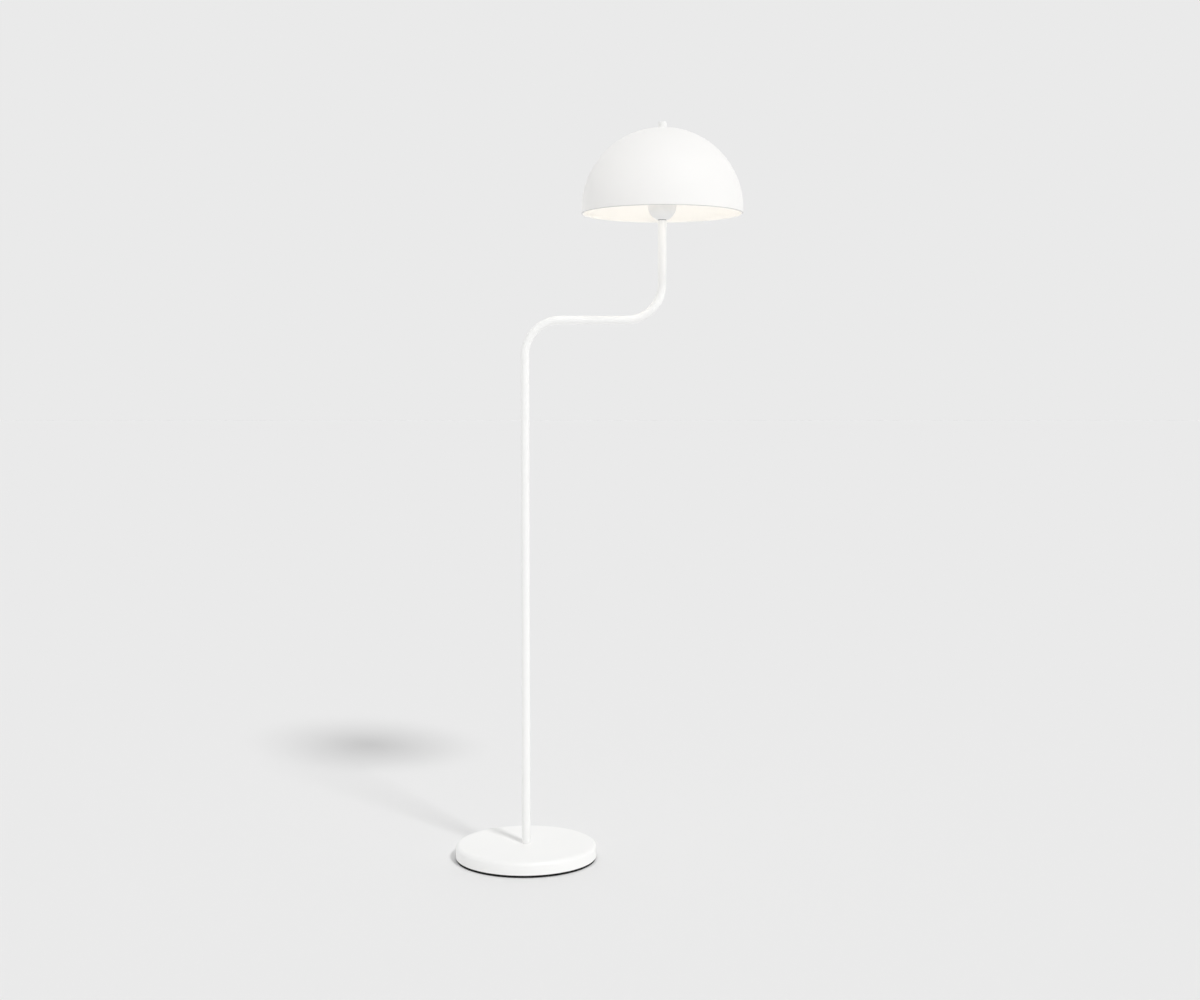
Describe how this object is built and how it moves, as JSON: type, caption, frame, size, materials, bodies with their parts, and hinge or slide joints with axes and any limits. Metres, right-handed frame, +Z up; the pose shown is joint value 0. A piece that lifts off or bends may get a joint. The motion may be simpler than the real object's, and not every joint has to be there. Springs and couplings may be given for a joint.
{
  "type": "floor lamp",
  "caption": "Floor lamp: weighted round base, bent tube pole with a sideways step, cup-covered lampholder, wire harp and a lift-off dome shade held by a screw finial.",
  "frame": {"origin": "centre of the pad's underside, where the lamp stands on the floor", "axes": "+Z up along the lower pole, +X along the arm towards the shade, +Y to the rear with the cord inlet"},
  "size_m": [0.5395, 0.3, 1.384],
  "materials": {
    "white_paint": "smooth satin white powder coat",
    "shade_paint": "smooth satin white powder coat, same white inside",
    "cup_paint": "satin pale grey-white powder coat",
    "pad_foam": "matt black closed-cell foam",
    "iron": "raw casting",
    "black_rubber": "matt",
    "zinc": "bright zinc plate",
    "harp_steel": "satin nickel plate",
    "white_plastic": "moulded",
    "nylon": "natural nylon",
    "carrier_ceramic": "unglazed",
    "brass": "plain",
    "cap_metal": "bright, rolled",
    "cap_insulator": "glossy black",
    "bulb_plastic": "moulded",
    "board_metal": "white lacquer",
    "opal": "opal diffuser, lit warm white",
    "sheath": "white sheath",
    "brown_wire": "smooth",
    "blue_wire": "smooth"
  },
  "bodies": {
    "stand": {"base_cover": "white_paint", "lower_pole": "white_paint", "upper_pole": "white_paint", "socket_cup": "cup_paint", "base_pad": "pad_foam", "base_weight": "iron", "cord_inlet": "black_rubber", "cup_spacer": "black_rubber", "base_nipple": "zinc", "base_washer": "zinc", "base_nut": "zinc", "foot_bush": "zinc", "joint_spigot": "zinc", "joint_bush": "zinc", "top_bush": "zinc", "top_nipple": "zinc", "terminal_screws": "zinc", "terminal_fixing": "zinc", "harp": "harp_steel", "holder_base": "white_plastic", "holder_shell": "white_plastic", "clamp_ring": "white_plastic", "terminal_block": "white_plastic", "seat_washer": "nylon", "contact_carrier": "carrier_ceramic", "centre_contact": "brass", "side_contact": "brass", "contact_screws": "brass", "inner_lead": "sheath", "brown_core": "brown_wire", "blue_core": "blue_wire"},
    "shade": {"shade": "shade_paint"},
    "finial_washer": {"finial_washer": "nylon"},
    "finial": {"finial": "white_paint"},
    "bulb": {"bulb_contact": "brass", "bulb_insulator": "cap_insulator", "bulb_cap": "cap_metal", "bulb_housing": "bulb_plastic", "led_board": "board_metal", "bulb_globe": "opal"}
  },
  "joints": [
    {"name": "shade_lift", "type": "slide", "parent": "stand", "child": "shade", "axis": [0, 0, 1], "range_m": [0, 0.18]},
    {"name": "finial_rise", "type": "slide", "parent": "shade", "child": "finial_washer", "axis": [0, 0, 1], "range_m": [0, 0.0091]},
    {"name": "finial_turn", "type": "hinge", "parent": "finial_washer", "child": "finial", "pos_m": [0.256, 0, 1.3785], "axis": [0, 0, 1], "range_deg": [0, 3240]},
    {"name": "bulb_lift", "type": "slide", "parent": "stand", "child": "bulb", "axis": [0, 0, 1], "range_m": [0, 0.027]}
  ],
  "couplings": [
    {"joint": "finial_rise", "follows": "finial_turn", "m_per_rad": 0.00015915}
  ]
}
